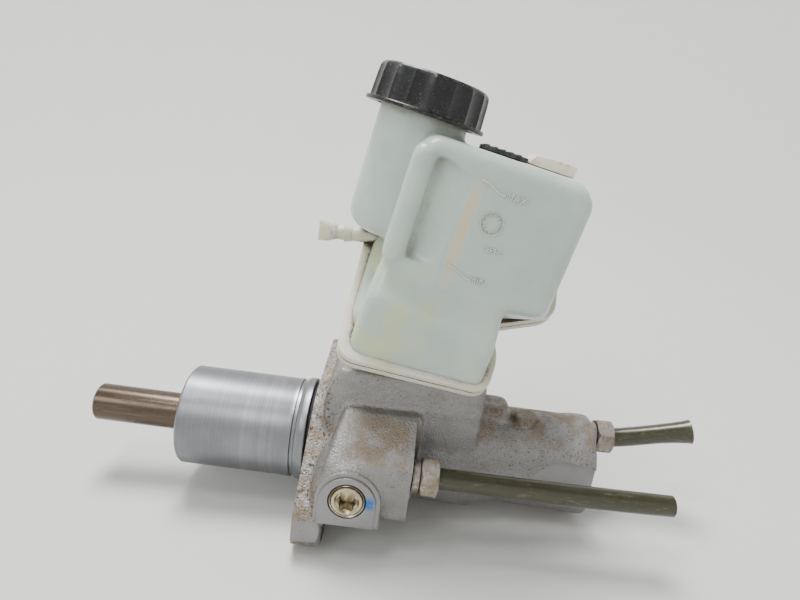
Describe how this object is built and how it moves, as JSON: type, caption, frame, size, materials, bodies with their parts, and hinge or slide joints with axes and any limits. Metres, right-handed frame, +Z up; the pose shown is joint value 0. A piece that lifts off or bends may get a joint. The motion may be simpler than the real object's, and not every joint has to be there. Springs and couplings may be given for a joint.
{
  "type": "tandem brake master cylinder with reservoir",
  "caption": "Tandem brake master cylinder with a turned booster sleeve and push rod, a leaning translucent fluid reservoir with a fluted screw cap, and brake pipe stubs.",
  "frame": {"origin": "on the bore axis, in the plane of the face that bolts to the brake booster", "axes": "-X along the bore towards the booster and the push rod, +X towards the nose, +Z up towards the reservoir"},
  "size_m": [0.2521, 0.0898, 0.1777],
  "materials": {
    "cast_aluminium": "cast",
    "turned_aluminium": "satin",
    "bronze_anodised": "satin",
    "rubber": "matte",
    "bush_plastic": "matte",
    "steel": "satin",
    "zinc_steel": "satin",
    "brass": "satin",
    "pipe_coating": "satin",
    "tank_plastic": "satin",
    "cap_plastic": "gloss",
    "connector_plastic": "satin",
    "foam": "matte"
  },
  "bodies": {
    "housing": {"cylinder_body": "cast_aluminium", "booster_sleeve": "turned_aluminium", "flange_seal": "rubber", "rod_seal": "rubber", "rear_grommet": "rubber", "front_grommet": "rubber", "guide_bush": "bush_plastic", "seal_washer": "steel", "retaining_circlip": "steel", "stop_pin": "steel", "secondary_spring": "steel", "reservoir_pin": "steel", "plug_screw": "zinc_steel", "side_outlet_nut": "zinc_steel", "nose_outlet_nut": "zinc_steel", "plug_washer": "brass", "contact_blade_1": "brass", "contact_blade_2": "brass", "side_brake_pipe": "pipe_coating", "nose_brake_pipe": "pipe_coating", "reservoir_upper_shell": "tank_plastic", "reservoir_lower_shell": "tank_plastic", "sensor_cover_strip": "cap_plastic", "filler_strainer": "connector_plastic", "level_sensor_stem": "connector_plastic", "sensor_connector": "connector_plastic"},
    "primary_piston": {"primary_piston": "bronze_anodised", "primary_cup": "rubber", "primary_cup_washer": "steel", "primary_spring": "steel"},
    "secondary_piston": {"secondary_piston": "turned_aluminium", "secondary_rear_cup": "rubber", "secondary_front_cup": "rubber", "secondary_cup_washer": "steel"},
    "cap_liner": {"cap_gasket": "rubber"},
    "cap": {"cap_shell": "cap_plastic"},
    "level_float": {"level_float": "foam"}
  },
  "joints": [
    {"name": "primary_slide", "type": "slide", "parent": "housing", "child": "primary_piston", "axis": [1, 0, 0], "range_m": [0, 0.026], "stiffness_N_per_m": 1500, "springref_m": -0.02, "deforming": ["primary_spring"]},
    {"name": "secondary_slide", "type": "slide", "parent": "housing", "child": "secondary_piston", "axis": [1, 0, 0], "range_m": [0, 0.013], "deforming": ["secondary_spring"]},
    {"name": "cap_lift", "type": "slide", "parent": "housing", "child": "cap_liner", "axis": [0.1908, 0, 0.9816], "range_m": [0, 0.01]},
    {"name": "cap_turn", "type": "hinge", "parent": "cap_liner", "child": "cap", "pos_m": [0.0301, 0, 0.1381], "axis": [0.1908, 0, 0.9816], "range_deg": [0, 720]},
    {"name": "float_slide", "type": "slide", "parent": "housing", "child": "level_float", "axis": [0.1908, 0, 0.9816], "range_m": [0, 0.02]}
  ],
  "couplings": [
    {"joint": "secondary_slide", "follows": "primary_slide", "ratio": 0.5},
    {"joint": "cap_lift", "follows": "cap_turn", "m_per_rad": 0.00079577}
  ]
}
